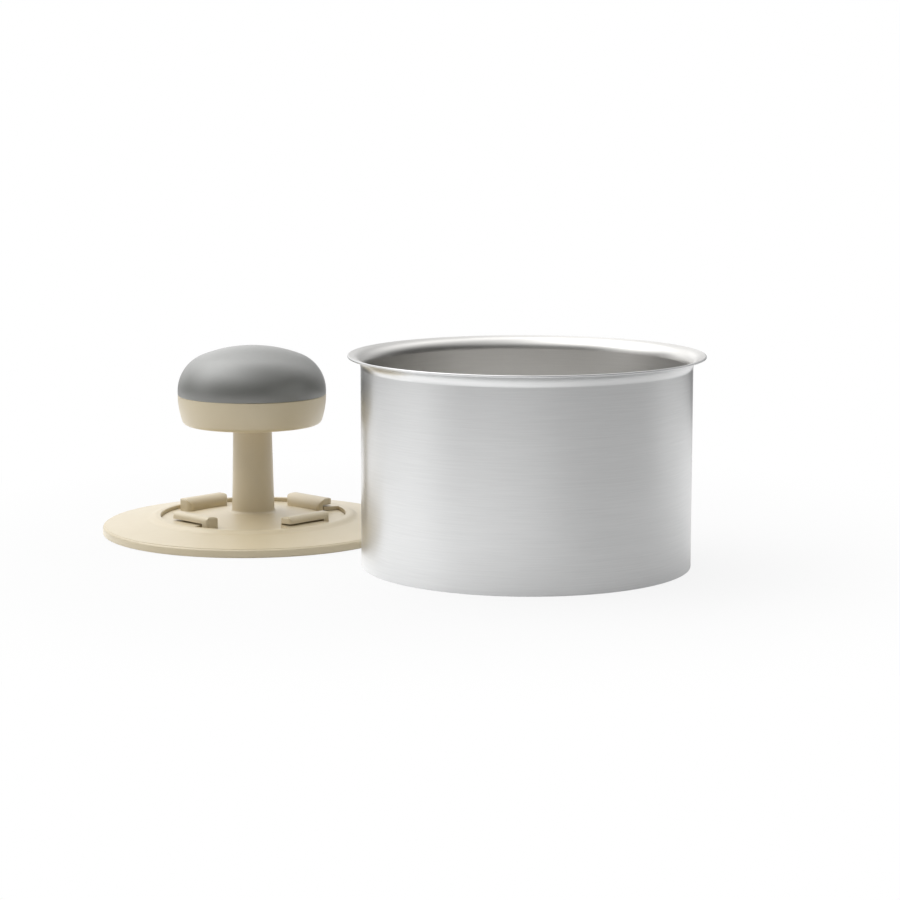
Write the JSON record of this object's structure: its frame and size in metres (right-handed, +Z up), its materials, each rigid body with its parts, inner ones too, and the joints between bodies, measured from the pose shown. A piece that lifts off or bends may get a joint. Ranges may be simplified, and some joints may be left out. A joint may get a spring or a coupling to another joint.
{
  "type": "burger press",
  "caption": "Flared steel forming ring with a hand press beside it: a round plate locked by claws to a stamp, stem and mushroom knob, which shapes minced meat into a patty.",
  "frame": {"origin": "on the table at the forming ring's axis", "axes": "+Z up along the ring's axis, +X to the right and +Y away from the viewer of the picture"},
  "size_m": [0.2194, 0.1834, 0.074],
  "materials": {
    "ring_steel": "brushed along the circumference, satin",
    "cream_plastic": "satin moulded, fine even grain",
    "core_plastic": "plain moulded",
    "grip_skin": "soft-touch, matte",
    "zinc_steel": "zinc plated"
  },
  "bodies": {
    "ring": {"forming_ring": "ring_steel"},
    "plate": {"press_plate": "cream_plastic"},
    "handle": {"stamp_hub": "cream_plastic", "knob_base": "cream_plastic", "knob_core": "core_plastic", "knob_grip": "grip_skin", "knob_screw": "zinc_steel", "screw_washer": "zinc_steel"}
  },
  "joints": [
    {"name": "press_lift", "type": "slide", "parent": "ring", "child": "plate", "axis": [0, 0, 1], "range_m": [0, 0.085]},
    {"name": "handle_twist", "type": "hinge", "parent": "plate", "child": "handle", "pos_m": [-0.10073, 0.06467, 0], "axis": [0, 0, 1], "range_deg": [-1.5, 45]}
  ]
}
